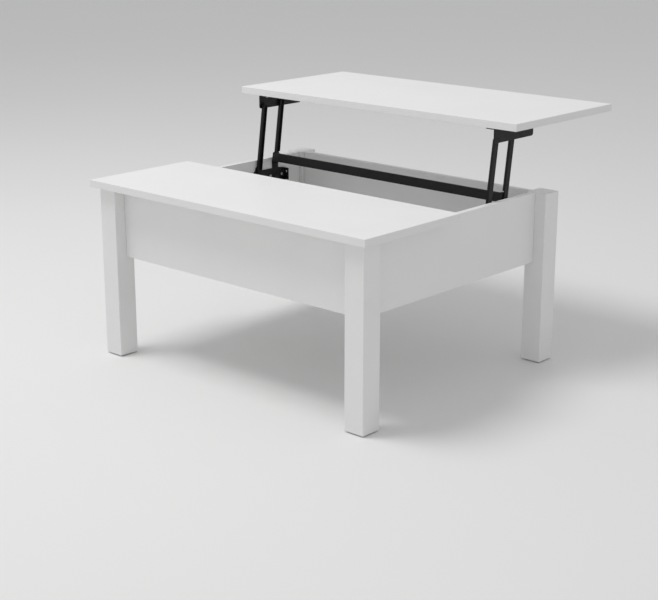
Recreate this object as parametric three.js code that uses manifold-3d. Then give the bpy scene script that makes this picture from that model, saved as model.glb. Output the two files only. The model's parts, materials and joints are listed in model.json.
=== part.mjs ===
// Lift top coffee table: a white four-legged table whose rear half of the top rises on a black steel
// parallelogram mechanism and swings out over the rear apron. Millimetres, +Z up, X along the top's
// long edges, +Y towards the rear, -X is left. The model is drawn with the top raised on its stops.

import * as THREE from 'three';
import { mergeVertices } from 'three/addons/utils/BufferGeometryUtils.js';
import Module from 'manifold-3d';

const wasm = await Module();
wasm.setup();

// ---- driving dimensions ----

const GAP = 0.3; // clearance left between pieces that touch

// Frame, measured about the centre of the four legs' footprint.
const FRAME_WIDTH = 866; // over the legs, along X
const FRAME_DEPTH = 724; // over the legs, along Y
const FRAME_HEIGHT = 432; // top of the legs and aprons
const LEG = 55; // square section
const APRON_RECESS = 31; // apron face behind the leg's face
const APRON_THICK = 15;
const APRON_BOTTOM = 257;
const GLIDE_RADIUS = 13;
const GLIDE_THICK = 2.5;

// Boards.
const TOP_THICK = 18;
const TOP_WIDTH = 900;
const OVERHANG = (TOP_WIDTH - FRAME_WIDTH) / 2;
const FIXED_BACK = -54; // rear edge of the fixed board
const JOINT_GAP = 2; // between the two boards when the table is closed
const LIFT_DEPTH = 408; // depth of the rising board
const PAD_THICK = 0.9;
const PAD_RADIUS = 9;
const CLOSED_GAP = 1.5; // from the frame's top to the closed board, taken up by the felt pads
const BATTEN = 12;
const FLOOR_THICK = 10;
const RAIL_THICK = 15;
const RAIL_HEIGHT = 60;

// Lift mechanism.
const ARM_LENGTH = 176; // between pivots
const OPEN_LEAN = THREE.MathUtils.degToRad(8); // arms past upright, towards the rear, on their stops
const CLOSED_LEAN = THREE.MathUtils.degToRad(89.5); // arms folded forwards
const PIVOT_PITCH = 66; // from front pivots to rear pivots, along Y
const REAR_PIVOT_DROP = 12; // rear top pivot below the board
const FRONT_PIVOT_DROP = 28; // front top pivot below the board
const ARM_WIDTH = 15;
const ARM_PLATE = 3;
const ARM_DEPTH = 7; // over the folded lips
const LIP_THICK = 2;
const EYE_RADIUS = 8;
const TAIL = 24; // front arm below its base pivot, where the spring pulls
const TAIL_RADIUS = 6;
const SHEET = 2.4; // bracket steel
const PIN_RADIUS = 4;
const PIN_HEAD_RADIUS = 5;
const PIN_HEAD = 2.2;
const PIN_CLEARANCE = 0.3;
const FLANGE_WIDTH = 24.7;
const TOP_WEB = 36;
const TOP_BRACKET_LENGTH = 158;
const TOP_BRACKET_INSET = 3; // behind the rising board's near edge
const FRONT_PIVOT_INSET = 15; // behind the top bracket's near end
const BASE_BRACKET = { front: 45, rear: 245, bottom: 366, top: 402, low: 392 };
const SPRING_X = 370;
const SPRING_RADIUS = 6;
const SPRING_HOOK_Z = 378;
const CROSSBAR = { near: -16, far: -7, low: 1, high: 24, wall: 2 };

const ROUND = 16; // facets on small round parts
const EYE_ROUND = 10; // facets per half turn on outlines

// ---- places worked out from them ----

const legOuterX = FRAME_WIDTH / 2;
const legOuterY = FRAME_DEPTH / 2;
const apronInX = legOuterX - APRON_RECESS - APRON_THICK;
const apronInY = legOuterY - APRON_RECESS - APRON_THICK;
const webOut = apronInX - GAP;
const webIn = webOut - SHEET;
const armOut = webIn - GAP;
const armIn = armOut - ARM_PLATE;

const liftRise = ARM_LENGTH * (Math.cos(OPEN_LEAN) - Math.cos(CLOSED_LEAN));
const liftReach = ARM_LENGTH * (Math.sin(OPEN_LEAN) + Math.sin(CLOSED_LEAN));
const boardUnder = FRAME_HEIGHT + CLOSED_GAP + liftRise;
const boardNear = FIXED_BACK + JOINT_GAP + liftReach;
const boardFar = boardNear + LIFT_DEPTH;
const bracketNear = boardNear + TOP_BRACKET_INSET;

const topFront = { y: bracketNear + FRONT_PIVOT_INSET, z: boardUnder - FRONT_PIVOT_DROP };
const topRear = { y: topFront.y + PIVOT_PITCH, z: boardUnder - REAR_PIVOT_DROP };
const baseOf = (pivot) => ({
  y: pivot.y - ARM_LENGTH * Math.sin(OPEN_LEAN),
  z: pivot.z - ARM_LENGTH * Math.cos(OPEN_LEAN),
});
const baseFront = baseOf(topFront);
const baseRear = baseOf(topRear);
const sides = [['left', -1], ['right', 1]];

// ---- finishes ----

const finish = (color, roughness, metalness) => () =>
  new THREE.MeshStandardMaterial({ color, roughness, metalness });
const whiteBoard = finish('#eeeeec', 0.45, 0);
const blackSteel = finish('#1d1d1e', 0.5, 0.6);
const zincSteel = finish('#b9bcc0', 0.35, 1);
const whitePlastic = finish('#dcdcd8', 0.5, 0);
const greyFelt = finish('#8d8f90', 0.95, 0);

// ---- solid helpers ----

function toSolid(geometry) {
  const bare = geometry.clone();
  bare.deleteAttribute('normal');
  bare.deleteAttribute('uv');
  const merged = mergeVertices(bare, 1e-4);
  const vertProperties = new Float32Array(merged.attributes.position.array);
  const triVerts = new Uint32Array(merged.index.array);
  return new wasm.Manifold(new wasm.Mesh({ numProp: 3, vertProperties, triVerts }));
}

function toGeometry(solid) {
  const mesh = solid.getMesh();
  const geometry = new THREE.BufferGeometry();
  geometry.setAttribute('position', new THREE.BufferAttribute(mesh.vertProperties, 3));
  geometry.setIndex(new THREE.BufferAttribute(mesh.triVerts, 1));
  geometry.computeVertexNormals();
  return geometry;
}

function joined(first, ...others) {
  return toGeometry(others.reduce((solid, other) => solid.add(toSolid(other)), toSolid(first)));
}

function cut(body, ...tools) {
  return toGeometry(tools.reduce((solid, tool) => solid.subtract(toSolid(tool)), toSolid(body)));
}

// A box between two corners; the two x values may come in either order, for the mirrored side.
function block([xa, xb], [ya, yb], [za, zb]) {
  const box = new THREE.BoxGeometry(Math.abs(xb - xa), yb - ya, zb - za);
  return box.translate((xa + xb) / 2, (ya + yb) / 2, (za + zb) / 2);
}

// A sheet standing in the YZ plane, from its outline (y, z), between two x values.
function sheet(outline, xa, xb) {
  const geometry = new THREE.ExtrudeGeometry(outline, {
    depth: Math.abs(xb - xa),
    bevelEnabled: false,
    curveSegments: EYE_ROUND,
  });
  const turn = new THREE.Matrix4().makeBasis(
    new THREE.Vector3(0, 1, 0),
    new THREE.Vector3(0, 0, 1),
    new THREE.Vector3(1, 0, 0),
  );
  return geometry.applyMatrix4(turn).translate(Math.min(xa, xb), 0, 0);
}

function hole(outline, y, z, radius) {
  const ring = new THREE.Path();
  ring.absarc(y, z, radius, 0, 2 * Math.PI, true);
  outline.holes.push(ring);
}

// A turned piece from (radius, distance) points, with its head at start and pointing along direction.
function turned(profile, start, direction) {
  const points = profile.map(([radius, along]) => new THREE.Vector2(radius, along));
  const geometry = new THREE.LatheGeometry(points, ROUND);
  const turn = new THREE.Quaternion().setFromUnitVectors(
    new THREE.Vector3(0, 1, 0),
    new THREE.Vector3(...direction).normalize(),
  );
  return geometry.applyQuaternion(turn).translate(...start);
}

function bore(radius, from, length, direction) {
  return turned([[0, 0], [radius, 0], [radius, length], [0, length]], from, direction);
}

function add(group, name, geometry, material) {
  const mesh = new THREE.Mesh(geometry, material());
  mesh.name = name;
  group.add(mesh);
  return mesh;
}

// ---- screws, pins and where they go ----

const SCREW = { head: 4.2, headHeight: 2.4, shank: 1.9, pilot: 2.3, length: 13 };
const baseScrews = [[85, 380], [188, 382], [232, 382]];
const topScrewInset = [12, 80, 146];
const topScrewX = 369;

function screwProfile() {
  const { head, headHeight, shank, length } = SCREW;
  return [
    [0, 0],
    [head - 1.4, 0],
    [head, 1.2],
    [head, headHeight],
    [shank, headHeight],
    [shank, headHeight + length - 2],
    [0, headHeight + length],
  ];
}

function pinProfile(length) {
  return [
    [0, 0],
    [PIN_HEAD_RADIUS - 1.2, 0],
    [PIN_HEAD_RADIUS, 0.9],
    [PIN_HEAD_RADIUS, PIN_HEAD],
    [PIN_RADIUS, PIN_HEAD],
    [PIN_RADIUS, PIN_HEAD + length],
    [0, PIN_HEAD + length],
  ];
}

// A riveted pivot pin: its head lies against the arm (or a plate on the arm), its end in the bracket.
function pivotPin(side, pivot, seatX) {
  const shank = webOut - GAP - seatX;
  return turned(pinProfile(shank), [side * (seatX - PIN_HEAD), pivot.y, pivot.z], [side, 0, 0]);
}

// ---- frame ----

const table = new THREE.Group();

for (const [sideName, side] of sides) {
  for (const [endName, end] of [['front', -1], ['rear', 1]]) {
    const x = side * (legOuterX - LEG / 2);
    const y = end * (legOuterY - LEG / 2);
    const legSolid = block(
      [x - LEG / 2, x + LEG / 2],
      [y - LEG / 2, y + LEG / 2],
      [GLIDE_THICK + GAP, FRAME_HEIGHT - GAP],
    );
    add(table, `leg_${endName}_${sideName}`, legSolid, whiteBoard);
    const glide = bore(GLIDE_RADIUS, [x, y, 0], GLIDE_THICK, [0, 0, 1]);
    add(table, `foot_glide_${endName}_${sideName}`, glide, whitePlastic);
  }
}

const apronHeight = [APRON_BOTTOM, FRAME_HEIGHT - GAP];
const longApron = legOuterX - LEG - GAP;
const sideApron = legOuterY - LEG - GAP;
const apronSpanX = [-longApron, longApron];
const frontApron = block(apronSpanX, [-apronInY - APRON_THICK, -apronInY], apronHeight);
add(table, 'apron_front', frontApron, whiteBoard);
const rearApron = block(apronSpanX, [apronInY, apronInY + APRON_THICK], apronHeight);
add(table, 'apron_rear', rearApron, whiteBoard);

for (const [sideName, side] of sides) {
  const board = block(
    [side * apronInX, side * (apronInX + APRON_THICK)],
    [-sideApron, sideApron],
    apronHeight,
  );
  const depth = SCREW.length - (apronInX - webIn) + 1;
  const pilots = baseScrews.map(([y, z]) =>
    bore(SCREW.pilot, [side * (apronInX - 1), y, z], depth + 1, [side, 0, 0]));
  add(table, `apron_${sideName}`, cut(board, ...pilots), whiteBoard);
}

const frontEdge = -legOuterY - OVERHANG;
const fixedTop = block(
  [-TOP_WIDTH / 2, TOP_WIDTH / 2],
  [frontEdge, FIXED_BACK],
  [FRAME_HEIGHT, FRAME_HEIGHT + TOP_THICK],
);
add(table, 'fixed_top', fixedTop, whiteBoard);

const railBack = FIXED_BACK - 3;
const rail = block(
  [-apronInX + GAP, apronInX - GAP],
  [railBack - RAIL_THICK, railBack],
  [FRAME_HEIGHT - RAIL_HEIGHT, FRAME_HEIGHT - GAP],
);
add(table, 'top_support_rail', rail, whiteBoard);

// ---- storage box floor, on two battens, notched round the legs ----

for (const [endName, end] of [['front', -1], ['rear', 1]]) {
  const near = end * (apronInY - GAP);
  const far = near - end * BATTEN;
  const batten = block(
    apronSpanX,
    [Math.min(near, far), Math.max(near, far)],
    [APRON_BOTTOM, APRON_BOTTOM + BATTEN],
  );
  add(table, `floor_batten_${endName}`, batten, whiteBoard);
}

const floorX = apronInX - GAP;
const floorY = apronInY - GAP;
const notchX = legOuterX - LEG - GAP;
const notchY = legOuterY - LEG - GAP;
const floorOutline = new THREE.Shape([
  [-notchX, -floorY], [notchX, -floorY], [notchX, -notchY], [floorX, -notchY],
  [floorX, notchY], [notchX, notchY], [notchX, floorY], [-notchX, floorY],
  [-notchX, notchY], [-floorX, notchY], [-floorX, -notchY], [-notchX, -notchY],
].map(([x, y]) => new THREE.Vector2(x, y)));
const storageFloor = new THREE.ExtrudeGeometry(floorOutline, { depth: FLOOR_THICK, bevelEnabled: false });
storageFloor.translate(0, 0, APRON_BOTTOM + BATTEN + GAP);
add(table, 'storage_floor', storageFloor, whiteBoard);

// ---- base brackets on the side aprons ----

// The stop stud stands just in front of the front arm's tail and holds the arms at their open lean.
const STUD = { radius: 4, neck: 2.5, height: 4, reach: 16 };
const studOffset = TAIL_RADIUS + STUD.radius + GAP;
const stopStud = {
  y: baseFront.y - STUD.reach * Math.sin(OPEN_LEAN) - studOffset * Math.cos(OPEN_LEAN),
  z: baseFront.z - STUD.reach * Math.cos(OPEN_LEAN) + studOffset * Math.sin(OPEN_LEAN),
};

function baseBracket(side) {
  const { front, rear, bottom, top, low } = BASE_BRACKET;
  const frontEar = EYE_RADIUS + 2.5;
  const rearEar = EYE_RADIUS + 3;
  const web = new THREE.Shape();
  web.moveTo(front, bottom);
  web.lineTo(rear, bottom);
  web.lineTo(rear, top - 4);
  web.lineTo(baseRear.y + rearEar, top);
  web.lineTo(baseRear.y + rearEar, baseRear.z);
  web.absarc(baseRear.y, baseRear.z, rearEar, 0, Math.PI, false);
  web.lineTo(baseRear.y - rearEar, top);
  web.lineTo(baseFront.y + frontEar, top);
  web.lineTo(baseFront.y + frontEar, baseFront.z);
  web.absarc(baseFront.y, baseFront.z, frontEar, 0, Math.PI, false);
  web.lineTo(baseFront.y - frontEar - 12, low);
  web.lineTo(front, low);
  hole(web, baseFront.y, baseFront.z, PIN_RADIUS + PIN_CLEARANCE);
  hole(web, baseRear.y, baseRear.z, PIN_RADIUS + PIN_CLEARANCE);
  hole(web, stopStud.y, stopStud.z, STUD.neck + PIN_CLEARANCE);
  baseScrews.forEach(([y, z]) => hole(web, y, z, SCREW.pilot));

  const flange = block([side * (webOut - 12), side * webOut], [front, rear], [bottom, bottom + SHEET]);
  const springTab = block(
    [side * (SPRING_X - 8), side * webOut],
    [front, front + SHEET],
    [bottom, SPRING_HOOK_Z + 10],
  );
  const springHole = bore(1.8, [side * SPRING_X, front - 1, SPRING_HOOK_Z], SHEET + 2, [0, 1, 0]);
  const rearTab = block([side * (webOut - 17), side * webOut], [rear - SHEET, rear], [bottom, top - 4]);
  const rearHole = bore(3, [side * (webOut - 10), rear - SHEET - 1, top - 14], SHEET + 2, [0, 1, 0]);
  const whole = joined(sheet(web, side * webIn, side * webOut), flange, springTab, rearTab);
  return cut(whole, springHole, rearHole);
}

for (const [sideName, side] of sides) {
  add(table, `base_bracket_${sideName}`, baseBracket(side), blackSteel);
  const armSeat = armIn - GAP;
  add(table, `base_pin_front_${sideName}`, pivotPin(side, baseFront, armSeat), blackSteel);
  add(table, `base_pin_rear_${sideName}`, pivotPin(side, baseRear, armSeat - SHEET - GAP), blackSteel);

  const { radius, neck, height } = STUD;
  const studEnd = height + SHEET;
  const studHead = [[0, 0], [radius, 0], [radius, height]];
  const studProfile = [...studHead, [neck, height], [neck, studEnd], [0, studEnd]];
  const studStart = [side * (webIn - GAP - height), stopStud.y, stopStud.z];
  add(table, `stop_stud_${sideName}`, turned(studProfile, studStart, [side, 0, 0]), blackSteel);

  baseScrews.forEach(([y, z], index) => {
    const start = [side * (webIn - GAP - SCREW.headHeight), y, z];
    const screw = turned(screwProfile(), start, [side, 0, 0]);
    add(table, `base_screw_${sideName}_${index + 1}`, screw, zincSteel);
  });
}

// ---- arms, drawn upright about their base pivot and leaned as a group ----

const POST = { radius: 2.5, head: 4, cap: 1.5 }; // the spring's post on the front arm's tail

function armOutline(hasTail) {
  const outline = new THREE.Shape();
  const eyeTurn = Math.asin(ARM_WIDTH / 2 / EYE_RADIUS);
  const quarter = Math.PI / 2;
  if (hasTail) {
    outline.absarc(0, -TAIL, TAIL_RADIUS, 2 * quarter, 4 * quarter, false);
    outline.absarc(0, 0, EYE_RADIUS, -quarter / 2, quarter - eyeTurn, false);
    outline.absarc(0, ARM_LENGTH, EYE_RADIUS, eyeTurn - quarter, 3 * quarter - eyeTurn, false);
    outline.absarc(0, 0, EYE_RADIUS, quarter + eyeTurn, 2.5 * quarter, false);
    hole(outline, 0, -TAIL, POST.radius + PIN_CLEARANCE);
  } else {
    outline.absarc(0, 0, EYE_RADIUS, quarter + eyeTurn, 5 * quarter - eyeTurn, false);
    outline.absarc(0, ARM_LENGTH, EYE_RADIUS, eyeTurn - quarter, 3 * quarter - eyeTurn, false);
  }
  hole(outline, 0, 0, PIN_RADIUS + PIN_CLEARANCE);
  hole(outline, 0, ARM_LENGTH, PIN_RADIUS + PIN_CLEARANCE);
  return outline;
}

function arm(side, outline, lipStart) {
  const lipX = [side * (armOut - ARM_DEPTH), side * armOut];
  const lips = [-1, 1].map((edge) => {
    const outer = edge * ARM_WIDTH / 2;
    const inner = outer - edge * LIP_THICK;
    return block(lipX, [Math.min(outer, inner), Math.max(outer, inner)], [lipStart, ARM_LENGTH]);
  });
  return joined(sheet(outline, side * armIn, side * armOut), ...lips);
}

function armGroup(pivot) {
  const group = new THREE.Group();
  group.position.set(0, pivot.y, pivot.z);
  group.rotation.x = -OPEN_LEAN;
  table.add(group);
  return group;
}

const frontArms = armGroup(baseFront);
const rearArms = armGroup(baseRear);

for (const [sideName, side] of sides) {
  add(frontArms, `front_arm_${sideName}`, arm(side, armOutline(true), 0), blackSteel);
  const { radius, head, cap } = POST;
  const postStart = SPRING_X - 4;
  const postLength = armOut - GAP - postStart;
  const postHead = [[0, 0], [head, 0], [head, cap]];
  const postProfile = [...postHead, [radius, cap], [radius, postLength], [0, postLength]];
  const post = turned(postProfile, [side * postStart, 0, -TAIL], [side, 0, 0]);
  add(frontArms, `spring_post_${sideName}`, post, blackSteel);
}

// ---- rear arms, with the crossbar welded between two end plates ----

const plateOut = armIn - GAP;
const plateIn = plateOut - SHEET;

function endPlate(side) {
  const { near, low, high } = CROSSBAR;
  const outline = new THREE.Shape();
  const corner = 3;
  const foot = low - EYE_RADIUS;
  outline.moveTo(near - 0.5, low - corner);
  outline.lineTo(-EYE_RADIUS, foot);
  outline.absarc(0, 0, EYE_RADIUS, Math.PI * 1.1, Math.PI * 2, false);
  outline.lineTo(EYE_RADIUS, high + 2 - corner);
  outline.lineTo(EYE_RADIUS - corner, high + 2);
  outline.lineTo(near - 0.5 + corner, high + 2);
  outline.lineTo(near - 0.5, high + 2 - corner);
  hole(outline, 0, 0, PIN_RADIUS + PIN_CLEARANCE);
  return sheet(outline, side * plateIn, side * plateOut);
}

function crossbar() {
  const { near, far, low, high, wall } = CROSSBAR;
  const channel = new THREE.Shape([
    [near, low], [far, low], [far, low + wall], [near + wall, low + wall],
    [near + wall, high - wall], [far, high - wall], [far, high], [near, high],
  ].map(([u, s]) => new THREE.Vector2(u, s)));
  return sheet(channel, -plateIn + GAP, plateIn - GAP);
}

for (const [sideName, side] of sides) {
  const rearArm = arm(side, armOutline(false), CROSSBAR.high + 4);
  add(rearArms, `rear_arm_${sideName}`, rearArm, blackSteel);
  add(rearArms, `crossbar_plate_${sideName}`, endPlate(side), blackSteel);
}
add(rearArms, 'crossbar', crossbar(), blackSteel);

// ---- springs, from the base bracket's front tab to the post on the front arm's tail ----

for (const [sideName, side] of sides) {
  const start = new THREE.Vector3(side * SPRING_X, BASE_BRACKET.front + SHEET + GAP, SPRING_HOOK_Z);
  const tail = new THREE.Vector3(
    side * SPRING_X,
    baseFront.y - TAIL * Math.sin(OPEN_LEAN),
    baseFront.z - TAIL * Math.cos(OPEN_LEAN),
  );
  const along = tail.clone().sub(start);
  const length = along.length() - POST.radius - GAP;
  const wire = 1;
  const hook = 10;
  const profile = [
    [0, 0],
    [wire, 0],
    [wire, hook],
    [SPRING_RADIUS, hook + 2],
    [SPRING_RADIUS, length - hook - 2],
    [wire, length - hook],
    [wire, length],
    [0, length],
  ];
  add(table, `lift_spring_${sideName}`, turned(profile, start.toArray(), along.toArray()), zincSteel);
}

// ---- rising board, its brackets, pins, screws and pads ----

const lift = new THREE.Group();
table.add(lift);

const board = block(
  [-TOP_WIDTH / 2, TOP_WIDTH / 2],
  [boardNear, boardFar],
  [boardUnder, boardUnder + TOP_THICK],
);
const screwTip = SCREW.length - SHEET - GAP;
const boardPilots = sides.flatMap(([, side]) => topScrewInset.map((inset) =>
  bore(SCREW.pilot, [side * topScrewX, bracketNear + inset, boardUnder - 1], screwTip + 2, [0, 0, 1])));
add(lift, 'lift_top', cut(board, ...boardPilots), whiteBoard);

function topBracket(side) {
  const top = boardUnder - GAP;
  const bottom = boardUnder - TOP_WEB;
  const far = bracketNear + TOP_BRACKET_LENGTH;
  const corner = 6;
  const web = new THREE.Shape();
  web.moveTo(bracketNear, top);
  web.lineTo(bracketNear, bottom + corner);
  web.absarc(bracketNear + corner, bottom + corner, corner, Math.PI, Math.PI * 1.5, false);
  web.absarc(far - corner, bottom + corner, corner, Math.PI * 1.5, Math.PI * 2, false);
  web.lineTo(far, top);
  hole(web, topFront.y, topFront.z, PIN_RADIUS + PIN_CLEARANCE);
  hole(web, topRear.y, topRear.z, PIN_RADIUS + PIN_CLEARANCE);
  const flangeX = [side * (webOut - FLANGE_WIDTH), side * webOut];
  const flange = block(flangeX, [bracketNear, far], [top - SHEET, top]);
  const holes = topScrewInset.map((inset) =>
    bore(SCREW.pilot, [side * topScrewX, bracketNear + inset, top - SHEET - 1], SHEET + 2, [0, 0, 1]));
  return cut(joined(sheet(web, side * webIn, side * webOut), flange), ...holes);
}

for (const [sideName, side] of sides) {
  add(lift, `top_bracket_${sideName}`, topBracket(side), blackSteel);
  add(lift, `top_pin_front_${sideName}`, pivotPin(side, topFront, armIn - GAP), blackSteel);
  add(lift, `top_pin_rear_${sideName}`, pivotPin(side, topRear, armIn - GAP), blackSteel);

  topScrewInset.forEach((inset, index) => {
    const headZ = boardUnder - SHEET - 2 * GAP - SCREW.headHeight;
    const start = [side * topScrewX, bracketNear + inset, headZ];
    add(lift, `top_screw_${sideName}_${index + 1}`, turned(screwProfile(), start, [0, 0, 1]), zincSteel);
  });

  const padStart = [side * (legOuterX - LEG / 2), boardFar - 24, boardUnder - GAP - PAD_THICK];
  add(lift, `felt_pad_${sideName}`, bore(PAD_RADIUS, padStart, PAD_THICK, [0, 0, 1]), greyFelt);
}

// The origin is on the floor, under the middle of the table with its top raised.
table.position.y = -(frontEdge + boardFar) / 2;

export default table;
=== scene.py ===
import json
import math

import bpy
from mathutils import Matrix, Vector

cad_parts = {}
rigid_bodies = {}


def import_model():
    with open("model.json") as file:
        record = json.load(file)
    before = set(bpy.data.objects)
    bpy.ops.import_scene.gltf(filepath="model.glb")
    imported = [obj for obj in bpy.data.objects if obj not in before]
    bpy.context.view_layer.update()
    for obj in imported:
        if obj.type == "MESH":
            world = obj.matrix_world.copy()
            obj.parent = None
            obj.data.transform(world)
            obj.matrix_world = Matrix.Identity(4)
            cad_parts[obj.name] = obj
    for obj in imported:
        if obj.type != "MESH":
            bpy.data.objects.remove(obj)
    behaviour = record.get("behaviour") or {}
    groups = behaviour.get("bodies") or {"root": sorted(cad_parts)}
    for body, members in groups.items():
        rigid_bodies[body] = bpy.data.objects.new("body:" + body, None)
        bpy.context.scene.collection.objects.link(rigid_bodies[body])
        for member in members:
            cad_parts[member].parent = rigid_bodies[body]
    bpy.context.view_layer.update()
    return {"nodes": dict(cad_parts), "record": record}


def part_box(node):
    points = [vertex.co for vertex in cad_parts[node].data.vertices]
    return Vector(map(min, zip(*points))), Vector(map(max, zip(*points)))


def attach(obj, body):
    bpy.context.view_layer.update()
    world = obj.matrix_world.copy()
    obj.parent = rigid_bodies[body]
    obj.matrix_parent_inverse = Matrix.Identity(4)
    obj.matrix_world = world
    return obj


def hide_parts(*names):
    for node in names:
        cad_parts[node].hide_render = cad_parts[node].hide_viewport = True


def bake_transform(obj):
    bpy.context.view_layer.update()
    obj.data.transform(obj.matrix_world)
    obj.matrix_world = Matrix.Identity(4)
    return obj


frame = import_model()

MM = 0.001

# ---------------------------------------------------------------------------------------------
# Camera: a long lens at standing height, off the table's front right corner, so that the top's
# long front edge and its right end both show and the raised board hides none of the mechanism.
# ---------------------------------------------------------------------------------------------

CAMERA_AZIMUTH = math.radians(42.34)
CAMERA_ELEVATION = math.radians(16.57)
CAMERA_DISTANCE = 3.630
CAMERA_LENS = 78.95
CAMERA_AIM = Vector((0, -0.0847, 0.1458))


def add_to_scene(thing):
    bpy.context.scene.collection.objects.link(thing)
    return thing


def face_towards(thing, place, target):
    """Puts a camera or a light at a place, looking at the target."""
    thing.location = place
    thing.rotation_mode = "QUATERNION"
    thing.rotation_quaternion = (place - target).to_track_quat("Z", "Y")


view_back = Vector((
    math.sin(CAMERA_AZIMUTH) * math.cos(CAMERA_ELEVATION),
    -math.cos(CAMERA_AZIMUTH) * math.cos(CAMERA_ELEVATION),
    math.sin(CAMERA_ELEVATION),
))
camera = add_to_scene(bpy.data.objects.new("camera", bpy.data.cameras.new("camera")))
camera.data.lens = CAMERA_LENS
face_towards(camera, CAMERA_AIM + view_back * CAMERA_DISTANCE, CAMERA_AIM)
bpy.context.scene.camera = camera

# ---------------------------------------------------------------------------------------------
# Studio: a wide pale floor of matt painted board, one big softbox high on the left, and an even
# grey room that fills the shadows. The floor darkens with distance because the softbox is near.
# ---------------------------------------------------------------------------------------------

FLOOR_WIDTH = 60
FLOOR_MOTTLE = 1.7  # metres across one of the paint's faint patches
ROOM_GREY = "#C4C4C5"
ROOM_STRENGTH = 1.04
KEY_PLACE = Vector((-1.15, -1.5, 4.4))
KEY_AIM = Vector((0, 0, 0.3))
KEY_SIZE = 2.0
KEY_POWER = 92


def linear(code):
    """A linear RGBA colour from an sRGB hex code."""
    parts = [int(code[i:i + 2], 16) / 255 for i in (1, 3, 5)]
    return (*[p / 12.92 if p <= 0.04045 else ((p + 0.055) / 1.055) ** 2.4 for p in parts], 1)


def add_node(material, kind, inputs, stops=(), **settings):
    """Adds a node to a material, with its settings, its colour stops, and its inputs set or linked."""
    node = material.node_tree.nodes.new(kind)
    for name, value in settings.items():
        setattr(node, name, value)
    for number, (position, code) in enumerate(stops):
        node.color_ramp.elements[number].position = position
        node.color_ramp.elements[number].color = linear(code)
    for name, value in inputs.items():
        if isinstance(value, bpy.types.NodeSocket):
            material.node_tree.links.new(value, node.inputs[name])
        else:
            node.inputs[name].default_value = value
    return node


def start_finish(name, roughness, metallic=0.0):
    """A new material, its shader, and the position on the piece that its patterns read."""
    material = bpy.data.materials.new(name)
    material.use_nodes = True
    shader = material.node_tree.nodes["Principled BSDF"]
    shader.inputs["Roughness"].default_value = roughness
    shader.inputs["Metallic"].default_value = metallic
    place = add_node(material, "ShaderNodeTexCoord", {}).outputs["Object"]
    return material, shader, place


def join_to(material, shader, **sockets):
    """Links outputs to the shader's sockets, named with underscores for spaces."""
    for name, output in sockets.items():
        material.node_tree.links.new(output, shader.inputs[name.replace("_", " ")])


# Matt emulsion: no gloss, with patches so faint that they only break the flatness.
floor_paint, floor_shader, floor_place = start_finish("matt_floor_paint", 0.85)
floor_mottle = add_node(
    floor_paint, "ShaderNodeTexNoise", {"Vector": floor_place, "Scale": 1 / FLOOR_MOTTLE}
)
floor_colour = add_node(
    floor_paint,
    "ShaderNodeValToRGB",
    {"Fac": floor_mottle.outputs["Fac"]},
    stops=((0.0, "#E7E7E6"), (1.0, "#EAEAE9")),
)
join_to(
    floor_paint,
    floor_shader,
    Base_Color=floor_colour.outputs["Color"],
)

bpy.ops.object.select_all(action="DESELECT")
bpy.ops.mesh.primitive_plane_add(size=FLOOR_WIDTH)
studio_floor = bpy.context.object
studio_floor.name = "studio_floor"
studio_floor.data.materials.append(floor_paint)

room = bpy.data.worlds.new("room")
room.use_nodes = True
room_light = room.node_tree.nodes["Background"]
room_light.inputs["Color"].default_value = linear(ROOM_GREY)
room_light.inputs["Strength"].default_value = ROOM_STRENGTH
bpy.context.scene.world = room

key_lamp = bpy.data.lights.new("softbox", "AREA")
key_lamp.shape = "DISK"
key_lamp.size = KEY_SIZE
key_lamp.energy = KEY_POWER
softbox = add_to_scene(bpy.data.objects.new("softbox", key_lamp))
face_towards(softbox, KEY_PLACE, KEY_AIM)
bpy.context.scene.view_settings.view_transform = "Standard"

# ---------------------------------------------------------------------------------------------
# Legs: four square posts of medium density fibreboard, wrapped in white foil whose arrises are
# rounded by the wrapping roller, and glued and dowelled to the aprons. Each stands on a glide.
# ---------------------------------------------------------------------------------------------

LEG_ARRIS = 1.8 * MM
LEG_FOOT_CHAMFER = 1.2 * MM
FOIL_GRAIN_WIDTH = 1.1 * MM  # a real pore is a tenth of this: drawn wide enough to show
FOIL_GRAIN_STRETCH = 22
FOIL_CLOUD = 90 * MM
LEG_HEAD_CHAMFER = 0.5 * MM
LEG_LONG_EDGE = 200 * MM  # only the arrises are longer
SHARP = math.radians(25)
FLAT = math.radians(0.5)
CAD_SLACK = 0.01 * MM  # how far apart the CAD mesh's doubled points may lie
EDIT_SLACK = 0.002 * MM  # and those that the edits here leave
LEVEL = 0.1 * MM  # a point this near a height counts as being at it


def edit_only(piece):
    """Makes the piece the only one selected, and the active one."""
    bpy.ops.object.select_all(action="DESELECT")
    piece.select_set(True)
    bpy.context.view_layer.objects.active = piece


def edit_mode():
    bpy.ops.object.mode_set(mode="EDIT")


def object_mode():
    bpy.ops.object.mode_set(mode="OBJECT")


def pick(piece, kind, passes):
    """Opens the piece for editing with only the edges or faces that pass the test selected.

    An edge has to be a sharp one, and is tested on its two ends. A face is tested on its middle
    and its normal."""
    edit_only(piece)
    mesh = piece.data
    edit_mode()
    bpy.ops.mesh.select_mode(type=kind)
    bpy.ops.mesh.select_all(action="DESELECT")
    bpy.ops.mesh.edges_select_sharp(sharpness=SHARP)
    object_mode()
    sharp = [edge.index for edge in mesh.edges if edge.select]
    edit_mode()
    bpy.ops.mesh.select_all(action="DESELECT")
    object_mode()
    if kind == "EDGE":
        for edge in [mesh.edges[index] for index in sharp]:
            edge.select = passes(*[mesh.vertices[v].co for v in edge.vertices])
    else:
        for face in mesh.polygons:
            face.select = passes(face.center, face.normal)
    edit_mode()


def apply_modifier(piece, kind, **settings):
    edit_only(piece)
    modifier = piece.modifiers.new(kind.lower(), kind)
    for name, value in settings.items():
        setattr(modifier, name, value)
    bpy.ops.object.modifier_apply(modifier=modifier.name)


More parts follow.
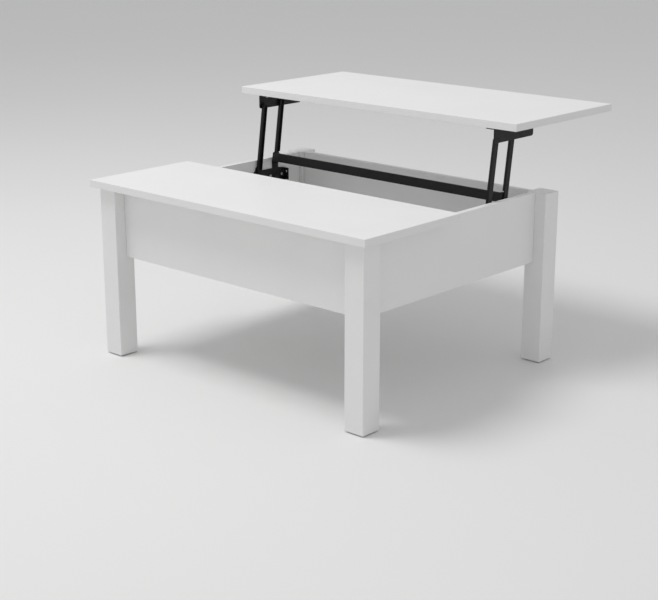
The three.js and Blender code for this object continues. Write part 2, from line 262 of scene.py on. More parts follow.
def from_cad(node, name):
    """A piece in the CAD node's shape, with its triangles joined and its flat faces made whole."""
    piece = add_to_scene(bpy.data.objects.new(name, frame["nodes"][node].data.copy()))
    piece.data.materials.clear()
    edit_only(piece)
    edit_mode()
    bpy.ops.mesh.select_all(action="SELECT")
    bpy.ops.mesh.remove_doubles(threshold=CAD_SLACK)
    bpy.ops.mesh.dissolve_limited(angle_limit=FLAT, use_dissolve_boundaries=True)
    object_mode()
    return piece


def bevel_edges(piece, passes, width, segments=3):
    pick(piece, "EDGE", passes)
    bpy.ops.mesh.bevel(offset=width, segments=segments, affect="EDGES", clamp_overlap=True)
    object_mode()


def close_up(piece, finish, angle=40):
    """Merges doubles, shades curves smooth and flats flat, and gives the piece its finish."""
    edit_only(piece)
    edit_mode()
    bpy.ops.mesh.select_all(action="SELECT")
    bpy.ops.mesh.remove_doubles(threshold=EDIT_SLACK)
    object_mode()
    bpy.ops.object.shade_smooth_by_angle(angle=math.radians(angle))
    apply_modifier(piece, "WEIGHTED_NORMAL", keep_sharp=True)
    if not piece.data.materials:
        piece.data.materials.append(finish)


def fit_in(piece, body, slot, *nodes):
    """The piece rides on a body and stands for the CAD nodes, which it hides; the slot is not used."""
    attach(piece, body)
    if nodes:
        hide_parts(*nodes)


def longer_than(length):
    """A test for pick, which an edge longer than this passes."""
    return lambda a, b: (a - b).length > length


# White wrapping foil: satin, with a faint pressed pore that runs up the leg, and a cloudiness
# in its gloss where the glue beneath is thicker.
wrap_foil, foil_shader, foil_place = start_finish("white_wrapped_foil", 0.42)
foil_shader.inputs["Specular IOR Level"].default_value = 0.42
foil_run = add_node(
    wrap_foil,
    "ShaderNodeMapping",
    {"Vector": foil_place, "Scale": (1, 1, 1 / FOIL_GRAIN_STRETCH)},
)
foil_pore = add_node(
    wrap_foil,
    "ShaderNodeTexNoise",
    {"Vector": foil_run.outputs["Vector"], "Scale": 1 / FOIL_GRAIN_WIDTH, "Detail": 2},
)
foil_cloud = add_node(
    wrap_foil, "ShaderNodeTexNoise", {"Vector": foil_place, "Scale": 1 / FOIL_CLOUD, "Detail": 3}
)
foil_relief = add_node(
    wrap_foil,
    "ShaderNodeBump",
    {"Height": foil_pore.outputs["Fac"], "Strength": 0.25, "Distance": 0.05 * MM},
)
foil_colour = add_node(
    wrap_foil,
    "ShaderNodeValToRGB",
    {"Fac": foil_cloud.outputs["Fac"]},
    stops=((0.3, "#E8E8E8"), (0.7, "#EBEBEA")),
)
foil_gloss = add_node(
    wrap_foil,
    "ShaderNodeMapRange",
    {
        "Value": foil_cloud.outputs["Fac"],
        "From Min": 0.3,
        "From Max": 0.7,
        "To Min": 0.39,
        "To Max": 0.46,
    },
)
join_to(
    wrap_foil,
    foil_shader,
    Base_Color=foil_colour.outputs["Color"],
    Roughness=foil_gloss.outputs["Result"],
    Normal=foil_relief.outputs["Normal"],
)

CORNERS = ("front_left", "front_right", "rear_left", "rear_right")
for corner in CORNERS:
    node = f"leg_{corner}"
    low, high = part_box(node)
    leg = from_cad(node, f"wrapped_leg_{corner}")
    bevel_edges(leg, longer_than(LEG_LONG_EDGE), LEG_ARRIS, segments=4)
    bevel_edges(leg, lambda a, b: max(a.z, b.z) < low.z + LEVEL, LEG_FOOT_CHAMFER, segments=2)
    bevel_edges(leg, lambda a, b: min(a.z, b.z) > high.z - LEVEL, LEG_HEAD_CHAMFER, segments=2)
    close_up(leg, wrap_foil)
    fit_in(leg, "base", "white_board", node)

# Glides: a disc of moulded polypropylene under each leg, held by a steel nail whose head lies in
# a countersunk recess, so that only the plastic rim touches the floor.

GLIDE_EDGE = 0.7 * MM
NAIL_RECESS_RADIUS = 5.2 * MM
NAIL_RECESS_DEPTH = 1.3 * MM
NAIL_HEAD_RADIUS = 3.6 * MM
NAIL_HEAD_FLATNESS = 0.28
GLIDE_RIM = 0.95  # beyond this share of the radius lie only the rim's edges
RECESS_DRAFT = 0.05 * MM
PLASTIC_GRAIN = 0.8 * MM  # a real mould's grain is a tenth of this: drawn coarser to show

# Moulded polypropylene: waxy, half matt, with the fine spark-eroded grain of its mould.
glide_plastic, plastic_shader, plastic_place = start_finish("white_moulded_polypropylene", 0.5)
plastic_grain = add_node(
    glide_plastic,
    "ShaderNodeTexNoise",
    {"Vector": plastic_place, "Scale": 1 / PLASTIC_GRAIN, "Detail": 2},
)
plastic_relief = add_node(
    glide_plastic,
    "ShaderNodeBump",
    {"Height": plastic_grain.outputs["Fac"], "Strength": 0.4, "Distance": 0.08 * MM},
)
plastic_colour = add_node(
    glide_plastic,
    "ShaderNodeValToRGB",
    {"Fac": plastic_grain.outputs["Fac"]},
    stops=((0.0, "#D6D6D2"), (1.0, "#DEDEDA")),
)
plastic_gloss = add_node(
    glide_plastic,
    "ShaderNodeMapRange",
    {
        "Value": plastic_grain.outputs["Fac"],
        "From Min": 0.0,
        "From Max": 1.0,
        "To Min": 0.44,
        "To Max": 0.58,
    },
)
join_to(
    glide_plastic,
    plastic_shader,
    Base_Color=plastic_colour.outputs["Color"],
    Roughness=plastic_gloss.outputs["Result"],
    Normal=plastic_relief.outputs["Normal"],
)

# Zinc plate: a thin bluish bright coat on mild steel, with a soft patchy gloss.
ZINC_PATCH = 2.5 * MM
zinc_plate, zinc_shader, zinc_place = start_finish("bright_zinc_plate", 0.32, 1.0)
zinc_patch = add_node(
    zinc_plate, "ShaderNodeTexNoise", {"Vector": zinc_place, "Scale": 1 / ZINC_PATCH, "Detail": 3}
)
zinc_colour = add_node(
    zinc_plate,
    "ShaderNodeValToRGB",
    {"Fac": zinc_patch.outputs["Fac"]},
    stops=((0.3, "#B4B8BD"), (0.7, "#CBCDCF")),
)
zinc_gloss = add_node(
    zinc_plate,
    "ShaderNodeMapRange",
    {
        "Value": zinc_patch.outputs["Fac"],
        "From Min": 0.3,
        "From Max": 0.7,
        "To Min": 0.26,
        "To Max": 0.42,
    },
)
join_to(
    zinc_plate,
    zinc_shader,
    Base_Color=zinc_colour.outputs["Color"],
    Roughness=zinc_gloss.outputs["Result"],
)


def copy_to(pattern, name, matrix):
    """A copy of a pattern piece, with its own mesh, moved into place in that mesh."""
    piece = add_to_scene(bpy.data.objects.new(name, pattern.data.copy()))
    piece.data.transform(matrix)
    return piece


def use_up(pattern):
    """Removes a pattern piece once its copies are made."""
    bpy.data.objects.remove(pattern, do_unlink=True)


def sink_face(piece, passes, rim, depth):
    """Insets the faces that pass the test by a rim, and sinks them."""
    pick(piece, "FACE", passes)
    bpy.ops.mesh.inset(thickness=rim, use_boundary=True)
    bpy.ops.mesh.inset(thickness=RECESS_DRAFT, depth=-depth)
    object_mode()


glide_low, glide_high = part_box("foot_glide_front_left")
glide_radius = (glide_high.x - glide_low.x) / 2
glide_height = glide_high.z - glide_low.z
bpy.ops.object.select_all(action="DESELECT")
bpy.ops.mesh.primitive_cylinder_add(
    vertices=48, radius=glide_radius, depth=glide_height, location=(0, 0, glide_height / 2)
)
glide_pattern = bpy.context.object
bpy.ops.object.transform_apply(location=True, rotation=True, scale=True)
sink_face(
    glide_pattern, lambda c, n: n.z < -0.9, glide_radius - NAIL_RECESS_RADIUS, NAIL_RECESS_DEPTH
)


def glide_rim(a, b):
    on_floor = max(a.z, b.z) < LEVEL
    return on_floor and min(a.xy.length, b.xy.length) > glide_radius * GLIDE_RIM


bevel_edges(glide_pattern, glide_rim, GLIDE_EDGE)
close_up(glide_pattern, glide_plastic)

bpy.ops.object.select_all(action="DESELECT")
bpy.ops.mesh.primitive_uv_sphere_add(
    segments=24, ring_count=12, radius=NAIL_HEAD_RADIUS, location=(0, 0, 0)
)
nail_pattern = bpy.context.object
pick(nail_pattern, "FACE", lambda c, n: True)
bpy.ops.mesh.bisect(plane_co=(0, 0, 0), plane_no=(0, 0, 1), clear_outer=True, use_fill=True)
bpy.ops.mesh.select_all(action="SELECT")
bpy.ops.transform.resize(value=(1, 1, NAIL_HEAD_FLATNESS), center_override=(0, 0, 0))
object_mode()
close_up(nail_pattern, zinc_plate)

for corner in CORNERS:
    node = f"foot_glide_{corner}"
    low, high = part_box(node)
    centre = Matrix.Translation(((low.x + high.x) / 2, (low.y + high.y) / 2, low.z))
    glide = copy_to(glide_pattern, f"moulded_glide_{corner}", centre)
    fit_in(glide, "base", "white_plastic", node)
    nail_place = centre @ Matrix.Translation((0, 0, NAIL_RECESS_DEPTH))
    nail = copy_to(nail_pattern, f"glide_nail_{corner}", nail_place)
    fit_in(nail, "base", "zinc_steel")
use_up(glide_pattern)
use_up(nail_pattern)

# ---------------------------------------------------------------------------------------------
# Aprons: four boards of melamine faced chipboard between the legs, set back from the legs' outer
# faces, dowelled into them, and edged along the top and bottom with a thin plastic band.
# ---------------------------------------------------------------------------------------------

BOARD_ARRIS = 0.9 * MM
APRON_ARRIS = 0.6 * MM
BOARD_SHORT_EDGE = 8 * MM  # shorter edges are left sharp
MELAMINE_PEARL = 2.6 * MM  # the pressed pearl is under half a millimetre: drawn coarser to show
MELAMINE_CLOUD = 140 * MM
BAND_STREAK = 1.4 * MM
BAND_STRETCH = 25

# White melamine: a hard satin face with a fine pressed pearl and an almost even white.
melamine, melamine_shader, melamine_place = start_finish("white_melamine_face", 0.4)
melamine_shader.inputs["Specular IOR Level"].default_value = 0.4
pearl = add_node(
    melamine,
    "ShaderNodeTexNoise",
    {"Vector": melamine_place, "Scale": 1 / MELAMINE_PEARL, "Detail": 2},
)
melamine_cloud = add_node(
    melamine,
    "ShaderNodeTexNoise",
    {"Vector": melamine_place, "Scale": 1 / MELAMINE_CLOUD, "Detail": 3},
)
pearl_relief = add_node(
    melamine,
    "ShaderNodeBump",
    {"Height": pearl.outputs["Fac"], "Strength": 0.2, "Distance": 0.05 * MM},
)
melamine_colour = add_node(
    melamine,
    "ShaderNodeValToRGB",
    {"Fac": melamine_cloud.outputs["Fac"]},
    stops=((0.3, "#EAEAEA"), (0.7, "#ECECEB")),
)
melamine_gloss = add_node(
    melamine,
    "ShaderNodeMapRange",
    {
        "Value": pearl.outputs["Fac"],
        "From Min": 0.3,
        "From Max": 0.7,
        "To Min": 0.36,
        "To Max": 0.46,
    },
)
join_to(
    melamine,
    melamine_shader,
    Base_Color=melamine_colour.outputs["Color"],
    Roughness=melamine_gloss.outputs["Result"],
    Normal=pearl_relief.outputs["Normal"],
)

# Edge band: extruded plastic, a little glossier than the board's face, with faint streaks along it
# from the trimming cutter. Its colour is a shade greyer than the face: painted shade for the
# boards' edges, which face away from the light.
edge_band, band_shader, band_place = start_finish("white_plastic_edge_band", 0.34)
band_run = add_node(
    edge_band,
    "ShaderNodeMapping",
    {"Vector": band_place, "Scale": (1 / BAND_STRETCH, 1 / BAND_STRETCH, 1)},
)
band_streak = add_node(
    edge_band,
    "ShaderNodeTexNoise",
    {"Vector": band_run.outputs["Vector"], "Scale": 1 / BAND_STREAK, "Detail": 2},
)
band_relief = add_node(
    edge_band,
    "ShaderNodeBump",
    {"Height": band_streak.outputs["Fac"], "Strength": 0.15, "Distance": 0.04 * MM},
)
# The band's colour stops lie a shade below the board's face: painted shade on the edges, with the
# cutter's streaks.
band_streaks_and_painted_shade = add_node(
    edge_band,
    "ShaderNodeValToRGB",
    {"Fac": band_streak.outputs["Fac"]},
    stops=((0.3, "#E5E5E5"), (0.7, "#EAEAE9")),
)
band_gloss = add_node(
    edge_band,
    "ShaderNodeMapRange",
    {
        "Value": band_streak.outputs["Fac"],
        "From Min": 0.3,
        "From Max": 0.7,
        "To Min": 0.3,
        "To Max": 0.4,
    },
)
join_to(
    edge_band,
    band_shader,
    Base_Color=band_streaks_and_painted_shade.outputs["Color"],
    Roughness=band_gloss.outputs["Result"],
    Normal=band_relief.outputs["Normal"],
)


def banded_board(node, is_edge, arris=BOARD_ARRIS):
    """A board with eased arrises, and edge band on the faces whose normal passes the test."""
    board = from_cad(node, f"banded_{node}")
    board.data.materials.append(melamine)
    board.data.materials.append(edge_band)
    bevel_edges(board, longer_than(BOARD_SHORT_EDGE), arris)
    for face in board.data.polygons:
        face.material_index = 1 if is_edge(face.normal) else 0
    return board


def finish_board(board, body, node):
    close_up(board, melamine)
    fit_in(board, body, "white_board", node)


def faces_up_or_down(normal):
    return abs(normal.z) > 0.5


def faces_sideways(normal):
    return max(abs(normal.x), abs(normal.y)) > 0.5


for side in ("front", "rear", "left", "right"):
    node = f"apron_{side}"
    apron = banded_board(node, faces_up_or_down, APRON_ARRIS)
    finish_board(apron, "base", node)

# ---------------------------------------------------------------------------------------------
# Storage box: a thin white board lies on two battens glued inside the front and rear aprons,
# notched round the legs. A cross rail between the side aprons carries the fixed top's rear edge.
# ---------------------------------------------------------------------------------------------

PANEL_ARRIS = 0.5 * MM

for node in ("floor_batten_front", "floor_batten_rear", "storage_floor"):
    board = banded_board(node, faces_sideways, PANEL_ARRIS)
    finish_board(board, "base", node)
support_rail = banded_board("top_support_rail", faces_up_or_down, APRON_ARRIS)
finish_board(support_rail, "base", "top_support_rail")

# ---------------------------------------------------------------------------------------------
# Fixed top: the front board, 18 mm melamine faced chipboard with a plastic band on all four
# edges. It lies on the legs, aprons and rail, held from below by dowels.
# ---------------------------------------------------------------------------------------------

BAND_THICKNESS = 0.9 * MM
GLUE_LINE = 0.25 * MM
GLUE_SINK = 0.05 * MM
GLUE_PATCH = 30 * MM

# Glue line: melt adhesive squeezed out between the board's face and its band, scraped flush. It
# shows as a hairline a little greyer than the board.
glue, glue_shader, glue_place = start_finish("grey_melt_glue", 0.55)
glue_patch = add_node(
    glue, "ShaderNodeTexNoise", {"Vector": glue_place, "Scale": 1 / GLUE_PATCH, "Detail": 3}
)
glue_colour = add_node(
    glue,
    "ShaderNodeValToRGB",
    {"Fac": glue_patch.outputs["Fac"]},
    stops=((0.35, "#BDBDBA"), (0.65, "#D8D8D6")),
)
join_to(
    glue,
    glue_shader,
    Base_Color=glue_colour.outputs["Color"],
)


def draw_glue_line(board):
    """A sunk hairline round the upper face, a band's thickness in from the edge."""
    board.data.materials.append(glue)
    pick(board, "FACE", lambda c, n: n.z > 0.99)
    bpy.ops.mesh.inset(thickness=BAND_THICKNESS)
    bpy.ops.mesh.inset(thickness=GLUE_LINE / 2, depth=-GLUE_SINK)
    bpy.ops.mesh.inset(thickness=GLUE_LINE / 2, depth=GLUE_SINK)
    bpy.ops.mesh.select_more()
    bpy.ops.mesh.select_more()
    board.active_material_index = 2
    bpy.ops.object.material_slot_assign()
    bpy.ops.mesh.select_less()
    bpy.ops.mesh.select_less()
    board.active_material_index = 0
    bpy.ops.object.material_slot_assign()
    object_mode()


def is_board_edge(normal):
    return abs(normal.z) < 0.7


fixed_top = banded_board("fixed_top", is_board_edge)
draw_glue_line(fixed_top)
finish_board(fixed_top, "base", "fixed_top")

# ---------------------------------------------------------------------------------------------
# Base brackets: pressed from 2.4 mm sheet steel with a foot flange, a spring tab in front and a
# closing tab behind, black powder coated, and screwed to the inner faces of the side aprons.
# ---------------------------------------------------------------------------------------------

BEND_RADIUS = 2.1 * MM
BRACKET_SHORT_BEND = 15 * MM  # the bends are all longer than this
SHEET_EDGE = 0.35 * MM
CUT_EDGE = math.radians(50)
CONTACT = 0.05 * MM  # a point this near a face counts as being on it
POWDER_GRAIN = 1.3 * MM
POWDER_DUST = 26 * MM

# Black powder coat: baked polyester, satin, with orange peel and a little pale dust in its gloss.
powder_coat, powder_shader, powder_place = start_finish("black_powder_coat", 0.45)
powder_shader.inputs["Specular IOR Level"].default_value = 0.36
powder_peel = add_node(
    powder_coat,
    "ShaderNodeTexNoise",
    {"Vector": powder_place, "Scale": 1 / POWDER_GRAIN, "Detail": 2},
)
powder_dust = add_node(
    powder_coat,
    "ShaderNodeTexNoise",
    {"Vector": powder_place, "Scale": 1 / POWDER_DUST, "Detail": 4},
)
powder_relief = add_node(
    powder_coat,
    "ShaderNodeBump",
    {"Height": powder_peel.outputs["Fac"], "Strength": 0.5, "Distance": 0.1 * MM},
)
powder_colour = add_node(
    powder_coat,
    "ShaderNodeValToRGB",
    {"Fac": powder_dust.outputs["Fac"]},
    stops=((0.35, "#060607"), (0.7, "#101011")),
)
powder_gloss = add_node(
    powder_coat,
    "ShaderNodeMapRange",
    {
        "Value": powder_dust.outputs["Fac"],
        "From Min": 0.3,
        "From Max": 0.7,
        "To Min": 0.38,
        "To Max": 0.56,
    },
)
join_to(
    powder_coat,
    powder_shader,
    Base_Color=powder_colour.outputs["Color"],
    Roughness=powder_gloss.outputs["Result"],
    Normal=powder_relief.outputs["Normal"],
)

SIDES = ("left", "right")
web_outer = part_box("base_bracket_right")[1].x


def same(value, target):
    """Whether a point's coordinate lies on a face of the CAD piece."""
    return abs(value - target) < CONTACT


def ease_edges(piece, width):
    """Takes the sharpness off every cut edge."""
    apply_modifier(
        piece, "BEVEL", width=width, segments=2, limit_method="ANGLE", angle_limit=CUT_EDGE
    )


def pressed(node, body, bends=None):
    """Sheet steel: the bends that pass the test are rounded, then every cut edge is eased."""
    piece = from_cad(node, f"pressed_{node}")
    if bends:
        bevel_edges(piece, bends, BEND_RADIUS)
    ease_edges(piece, SHEET_EDGE)
    close_up(piece, powder_coat)
    fit_in(piece, body, "black_steel", node)


for side in SIDES:
    node = f"base_bracket_{side}"
    low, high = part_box(node)

    def bracket_bend(a, b):
        on_web = same(abs(a.x), web_outer) and same(abs(b.x), web_outer)
        foot = same(a.z, low.z) and same(b.z, low.z)
        behind = same(a.y, high.y) and same(b.y, high.y)
        before = same(a.y, low.y) and same(b.y, low.y)
        return on_web and (foot or behind or before) and (a - b).length > BRACKET_SHORT_BEND

    pressed(node, "base", bracket_bend)

# Screws: pan heads with a cross recess, zinc plated, driven into the boards' pilot holes.

SCREW_HEAD_RADIUS = 4.2 * MM
SCREW_HEAD_HEIGHT = 2.4 * MM
SCREW_SHANK_RADIUS = 1.9 * MM
SCREW_SHANK_LENGTH = 13 * MM
RECESS_WIDTH = 1.1 * MM
RECESS_SPAN = 4.4 * MM
RECESS_DEPTH = 1.5 * MM
THREAD_RINGS = 7
THREAD_GIRTH = 0.76  # the root's share of the crest's radius
TIP_ROOM = 2.4 * MM
TIP_LENGTH = 2.3 * MM
TIP_GIRTH = 0.12
HEAD_CROWN = 1.5 * MM
QUARTER_TURN = math.radians(90)

bpy.ops.object.select_all(action="DESELECT")
bpy.ops.mesh.primitive_cylinder_add(
    vertices=32,
    radius=SCREW_HEAD_RADIUS,
    depth=SCREW_HEAD_HEIGHT,
    location=(0, 0, SCREW_HEAD_HEIGHT / 2),
)
screw_pattern = bpy.context.object
bpy.ops.object.transform_apply(location=True, rotation=True, scale=True)
bevel_edges(screw_pattern, lambda a, b: max(a.z, b.z) < LEVEL, HEAD_CROWN, segments=5)
pick(screw_pattern, "FACE", lambda c, n: n.z > 0.9)
bpy.ops.mesh.inset(thickness=SCREW_HEAD_RADIUS - SCREW_SHANK_RADIUS)
thread_step = (SCREW_SHANK_LENGTH - TIP_ROOM) / (2 * THREAD_RINGS)
for ring in range(2 * THREAD_RINGS):
    bpy.ops.mesh.extrude_region_move(TRANSFORM_OT_translate={"value": (0, 0, thread_step)})
    girth = THREAD_GIRTH if ring % 2 == 0 else 1 / THREAD_GIRTH
    bpy.ops.transform.resize(value=(girth, girth, 1), center_override=(0, 0, 0))
bpy.ops.mesh.extrude_region_move(TRANSFORM_OT_translate={"value": (0, 0, TIP_LENGTH)})
bpy.ops.transform.resize(value=(TIP_GIRTH, TIP_GIRTH, 1), center_override=(0, 0, 0))
object_mode()
for size in ((RECESS_SPAN, RECESS_WIDTH), (RECESS_WIDTH, RECESS_SPAN)):
    bpy.ops.object.select_all(action="DESELECT")
    bpy.ops.mesh.primitive_cube_add(size=1, location=(0, 0, 0))
    cutter = bpy.context.object
    cutter.scale = (*size, RECESS_DEPTH * 2)
    bpy.ops.object.transform_apply(location=True, rotation=True, scale=True)
    apply_modifier(
        screw_pattern, "BOOLEAN", operation="DIFFERENCE", object=cutter, solver="EXACT"
    )
    use_up(cutter)
close_up(screw_pattern, zinc_plate)

for side in SIDES:
    for number in (1, 2, 3):
        node = f"base_screw_{side}_{number}"
        low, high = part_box(node)
        way = 1 if side == "right" else -1
        inner = low.x if side == "right" else high.x
        place = Matrix.Translation((inner, (low.y + high.y) / 2, (low.z + high.z) / 2))
        turn = Matrix.Rotation(way * QUARTER_TURN, 4, "Y")
        screw = copy_to(screw_pattern, f"pan_{node}", place @ turn)
        fit_in(screw, "base", "zinc_steel", node)
    for number in (1, 2, 3):
        node = f"top_screw_{side}_{number}"
        low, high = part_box(node)
        place = Matrix.Translation(((low.x + high.x) / 2, (low.y + high.y) / 2, low.z))
        screw = copy_to(screw_pattern, f"pan_{node}", place)
        fit_in(screw, "lift_top", "zinc_steel", node)
use_up(screw_pattern)

# Pivot pins and stop studs: turned steel, powder coated with the bracket. A pin's head is domed,
# with the small dimple that the riveting punch leaves.

PIN_DIMPLE_RIM = 2.0 * MM
PIN_DIMPLE_DEPTH = 0.5 * MM
PIN_EDGE = 0.3 * MM


def turned_pin(node, body):
    """A pin in the CAD node's shape, dimpled in its head, with its edges eased."""
    low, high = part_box(node)
    inner = low.x if low.x > 0 else high.x
    piece = from_cad(node, f"turned_{node}")
    sink_face(
        piece,
        lambda c, n: same(c.x, inner) and abs(n.x) > 0.9,
        PIN_DIMPLE_RIM,
        PIN_DIMPLE_DEPTH,
    )
    ease_edges(piece, PIN_EDGE)
    close_up(piece, powder_coat)
    fit_in(piece, body, "black_steel", node)


for side in SIDES:
    turned_pin(f"base_pin_front_{side}", "base")
    turned_pin(f"base_pin_rear_{side}", "base")
    turned_pin(f"stop_stud_{side}", "base")

# ---------------------------------------------------------------------------------------------
# Rear arms: channels folded from 3 mm sheet steel, powder coated black, with a plate on the foot
# of each. The crossbar, an open channel, is welded between the plates so that both swing as one.
# ---------------------------------------------------------------------------------------------

ARM_BEND = 1.5 * MM
ARM_LONG_EDGE = 60 * MM


def folded_arm(node, body):
    """An arm: its two folds rounded, and its cut edges eased."""
    low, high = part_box(node)
    outer = high.x if high.x > 0 else low.x
    piece = from_cad(node, f"folded_{node}")

    def arm_fold(a, b):
        on_web = same(a.x, outer) and same(b.x, outer)
        return on_web and (a - b).length > ARM_LONG_EDGE

    bevel_edges(piece, arm_fold, ARM_BEND)
    ease_edges(piece, SHEET_EDGE)
    close_up(piece, powder_coat)
    fit_in(piece, body, "black_steel", node)


for side in SIDES:
    folded_arm(f"rear_arm_{side}", "rear_arms")
    pressed(f"crossbar_plate_{side}", "rear_arms")

pressed("crossbar", "rear_arms")

# Weld beads: short runs of weld metal in the corners above and below each end of the crossbar,
# rippled where the torch stepped, and powder coated over with the rest.

BAR_FRONT = 16 * MM  # the crossbar's front and rear faces, in front of the line of the pivots
BAR_BACK = 7 * MM
BAR_LOW = 1 * MM  # its lower and upper faces, along the arm from the base pivot
BAR_HIGH = 24 * MM
BEAD_RADIUS = 1.4 * MM
BEAD_STEP = 1.3 * MM
BEAD_VOXEL = 0.3 * MM

pivots = {joint["name"]: Vector(joint["pos_m"]) for joint in frame["record"]["behaviour"]["joints"]}
arm_line = (pivots["top_level"] - pivots["lift"]).normalized()
arm_front = Vector((1, 0, 0)).cross(arm_line)
bead_steps = int((BAR_FRONT - BAR_BACK) / BEAD_STEP)
ripples = []
for step in range(bead_steps):
    bpy.ops.object.select_all(action="DESELECT")
    bpy.ops.mesh.primitive_uv_sphere_add(
        segments=16, ring_count=10, radius=BEAD_RADIUS, location=(0, 0, step * BEAD_STEP)
    )
    ripples.append(bpy.context.object)
for ripple in ripples:
    ripple.select_set(True)
bead_pattern = ripples[0]
bpy.context.view_layer.objects.active = bead_pattern
bpy.ops.object.join()
bpy.ops.object.transform_apply(location=True, rotation=True, scale=True)
apply_modifier(bead_pattern, "REMESH", mode="VOXEL", voxel_size=BEAD_VOXEL)
close_up(bead_pattern, powder_coat, angle=180)
bead_turn = arm_front.to_track_quat("Z", "Y").to_matrix().to_4x4()
bar_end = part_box("crossbar")[1].x
for side in SIDES:
    for level, reach in (("upper", BAR_HIGH), ("lower", BAR_LOW)):
        start = pivots["lift"] + arm_line * reach + arm_front * (BAR_BACK + BEAD_STEP)
        start.x = bar_end if side == "right" else -bar_end
        bead = copy_to(
            bead_pattern, f"weld_bead_{level}_{side}", Matrix.Translation(start) @ bead_turn
        )
        fit_in(bead, "rear_arms", "black_steel")
use_up(bead_pattern)

# ---------------------------------------------------------------------------------------------
# Front arms: the same folded channels, with a tail below the base pivot that carries the
# spring's post and comes to rest against the stop stud.
# ---------------------------------------------------------------------------------------------

for side in SIDES:
    folded_arm(f"front_arm_{side}", f"front_arm_{side}")
    turned_pin(f"spring_post_{side}", f"front_arm_{side}")

# ---------------------------------------------------------------------------------------------
# Springs: close wound from 1.6 mm zinc plated spring wire, hooked from the base bracket's front
# tab to the post on the front arm's tail. They stretch as the table closes, and the long straight
# hook at the post takes up all of that stretch here.
# ---------------------------------------------------------------------------------------------

WIRE_RADIUS = 0.8 * MM
COIL_PITCH = 1.66 * MM  # wound close, with the plating between the turns
POINTS_PER_TURN = 14
TAB_HOOK = 8.5 * MM
POST_HOOK = 17 * MM  # the long straight hook gives way as the front arm swings
POST_HOOK_STEPS = 10
POST_RADIUS = 2.5 * MM
LOOP_SLACK = 0.3 * MM
POST_LOOP = POST_RADIUS + WIRE_RADIUS + LOOP_SLACK
TAB_LOOP = 2.0 * MM
TAB_THICKNESS = 2.7 * MM
TAB_GAP = 0.2 * MM


def arc(centre, first, second, radius, start, end, steps):
    """Points on an arc, turning from the first direction towards the second, in degrees."""
    turns = [math.radians(start + (end - start) * step / steps) for step in range(steps + 1)]
    return [centre + (first * math.cos(t) + second * math.sin(t)) * radius for t in turns]


for side in SIDES:
    node = f"lift_spring_{side}"
    low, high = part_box(node)
    post_low, post_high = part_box(f"spring_post_{side}")
    axis_x = (low.x + high.x) / 2
    coil_radius = (high.x - low.x) / 2 - WIRE_RADIUS
    tab_end = Vector((axis_x, low.y + TAB_GAP, low.z + (high.x - low.x) / 2))
    post = Vector((axis_x, (post_low.y + post_high.y) / 2, (post_low.z + post_high.z) / 2))
    along = (post - tab_end).normalized()
    across = Vector((1, 0, 0))
    upward = along.cross(across) * -1
    coil_start = tab_end + along * TAB_HOOK
    coil_length = (post - tab_end).length - POST_LOOP - TAB_HOOK - POST_HOOK
    coil_steps = round(coil_length / COIL_PITCH) * POINTS_PER_TURN
    hook_centre = tab_end - along * TAB_THICKNESS - upward * TAB_LOOP
    points = arc(hook_centre, upward, -along, TAB_LOOP, start=130, end=0, steps=6)
    points.append(tab_end + along * TAB_HOOK / 2)
    for step in range(coil_steps + 1):
        angle = 2 * math.pi * step / POINTS_PER_TURN
        reach = coil_length * step / coil_steps
        round_it = across * math.cos(angle) + upward * math.sin(angle)
        points.append(coil_start + along * reach + round_it * coil_radius)
    coil_end = coil_start + along * (coil_length + coil_radius)
    hook_end = post - along * (POST_LOOP + WIRE_RADIUS)
    for step in range(POST_HOOK_STEPS):
        points.append(coil_end.lerp(hook_end, step / POST_HOOK_STEPS))
    points += arc(post, -along, upward, POST_LOOP, start=30, end=345, steps=16)
    wire = bpy.data.curves.new(f"wound_spring_{side}", "CURVE")
    wire.dimensions = "3D"
    wire.bevel_depth = WIRE_RADIUS
    wire.bevel_resolution = 2
    wire.use_fill_caps = True
    run = wire.splines.new("POLY")
    run.points.add(len(points) - 1)
    for point, place in zip(run.points, points):
        point.co = (*place, 1)
    spring = add_to_scene(bpy.data.objects.new(f"wound_spring_{side}", wire))
    edit_only(spring)
    bpy.ops.object.convert(target="MESH")
    spring = bpy.context.object
    close_up(spring, zinc_plate, angle=70)
    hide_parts(node)
    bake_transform(spring)

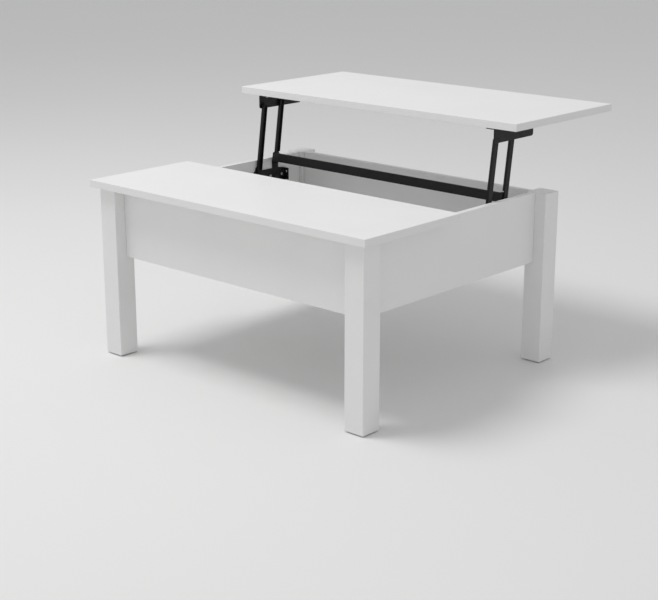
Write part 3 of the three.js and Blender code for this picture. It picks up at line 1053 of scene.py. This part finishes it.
# ---------------------------------------------------------------------------------------------
# Lift top: the rear board, on a pressed angle bracket at each end. The front and rear arms pivot
# on the brackets' webs. Felt pads under the rear corners meet the rear legs when it is down.
# ---------------------------------------------------------------------------------------------

for side in SIDES:
    node = f"top_bracket_{side}"
    low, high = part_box(node)

    def top_bend(a, b):
        at_corner = same(abs(a.x), web_outer) and same(abs(b.x), web_outer)
        return at_corner and same(a.z, high.z) and same(b.z, high.z)

    pressed(node, "lift_top", top_bend)
    turned_pin(f"top_pin_front_{side}", "lift_top")
    turned_pin(f"top_pin_rear_{side}", "lift_top")

lift_board = banded_board("lift_top", is_board_edge)
draw_glue_line(lift_board)
finish_board(lift_board, "lift_top", "lift_top")

# Felt pads: discs punched from pressed grey wool felt and glued under the rear corners.

FELT_TUFT = 0.9 * MM  # one wool fibre is too fine to show: this is a tuft of them
FELT_EDGE = 0.25 * MM

# Pressed wool felt: no gloss, mottled grey, with a soft fuzz that catches light at its edge.
felt, felt_shader, felt_place = start_finish("grey_wool_felt", 0.95)
felt_shader.inputs["Sheen Weight"].default_value = 0.3
felt_fibre = add_node(
    felt, "ShaderNodeTexNoise", {"Vector": felt_place, "Scale": 1 / FELT_TUFT, "Detail": 5}
)
felt_relief = add_node(
    felt,
    "ShaderNodeBump",
    {"Height": felt_fibre.outputs["Fac"], "Strength": 0.9, "Distance": 0.25 * MM},
)
felt_colour = add_node(
    felt,
    "ShaderNodeValToRGB",
    {"Fac": felt_fibre.outputs["Fac"]},
    stops=((0.3, "#777A7C"), (0.7, "#A2A4A5")),
)
join_to(
    felt,
    felt_shader,
    Base_Color=felt_colour.outputs["Color"],
    Normal=felt_relief.outputs["Normal"],
)
for side in SIDES:
    node = f"felt_pad_{side}"
    low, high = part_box(node)
    bpy.ops.object.select_all(action="DESELECT")
    bpy.ops.mesh.primitive_cylinder_add(
        vertices=40,
        radius=(high.x - low.x) / 2,
        depth=high.z - low.z,
        location=(low + high) / 2,
    )
    pad = bpy.context.object
    pad.name = f"cut_{node}"
    bpy.ops.object.transform_apply(location=True, rotation=True, scale=True)
    ease_edges(pad, FELT_EDGE)
    close_up(pad, felt)
    fit_in(pad, "lift_top", "grey_felt", node)
